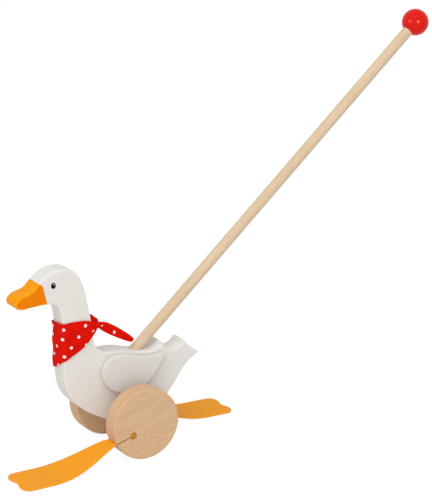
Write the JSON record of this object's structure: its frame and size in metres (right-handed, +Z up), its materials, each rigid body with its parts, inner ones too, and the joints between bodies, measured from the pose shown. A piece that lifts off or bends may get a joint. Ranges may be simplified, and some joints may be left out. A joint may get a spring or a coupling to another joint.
{
  "type": "push-along goose toy",
  "caption": "Wooden push-along goose sawn from a plank, rolling on beech wheels that carry flapping rubber feet, with a tied neckerchief and a long push stick ending in a round knob.",
  "frame": {"origin": "on the floor under the middle of the toy's box, in the middle plane of the goose's plank", "axes": "+X forwards, the way the goose looks; +Y to the goose's left; +Z up"},
  "size_m": [0.5421, 0.1342, 0.4395],
  "materials": {
    "white_paint": "satin off-white paint on wood, with the beak and eyes painted on",
    "beech": "fine-sanded beech, clear matt oil",
    "beech_dowel": "turned pale beech dowel, clear matt oil",
    "red_lacquer": "gloss red lacquer on wood",
    "orange_rubber": "matt moulded rubber",
    "red_cloth": "red cotton with small white spots"
  },
  "bodies": {
    "goose": {"goose_body": "white_paint", "wing_left": "white_paint", "wing_right": "white_paint", "push_stick": "beech_dowel", "stick_knob": "red_lacquer", "neckerchief": "red_cloth", "neckerchief_knot": "red_cloth", "neckerchief_tail_long": "red_cloth", "neckerchief_tail_short": "red_cloth"},
    "wheelset": {"axle": "beech_dowel", "sleeve_left": "beech", "sleeve_right": "beech", "wheel_left": "beech", "wheel_right": "beech", "foot_left_root": "orange_rubber", "foot_right_root": "orange_rubber"},
    "foot_left": {"foot_left_flap": "orange_rubber"},
    "foot_right": {"foot_right_flap": "orange_rubber"}
  },
  "joints": [
    {"name": "wheel_spin", "type": "hinge", "parent": "goose", "child": "wheelset", "pos_m": [0.11998, 0, 0.039], "axis": [0, 1, 0], "continuous": true},
    {"name": "foot_left_flex", "type": "hinge", "parent": "wheelset", "child": "foot_left", "pos_m": [0.15746, 0.042, 0.02292], "axis": [0, 1, 0], "range_deg": [-60, 60], "stiffness_Nm_per_rad": 0.15},
    {"name": "foot_right_flex", "type": "hinge", "parent": "wheelset", "child": "foot_right", "pos_m": [0.0825, -0.042, 0.02292], "axis": [0, 1, 0], "range_deg": [-60, 60], "stiffness_Nm_per_rad": 0.15}
  ]
}
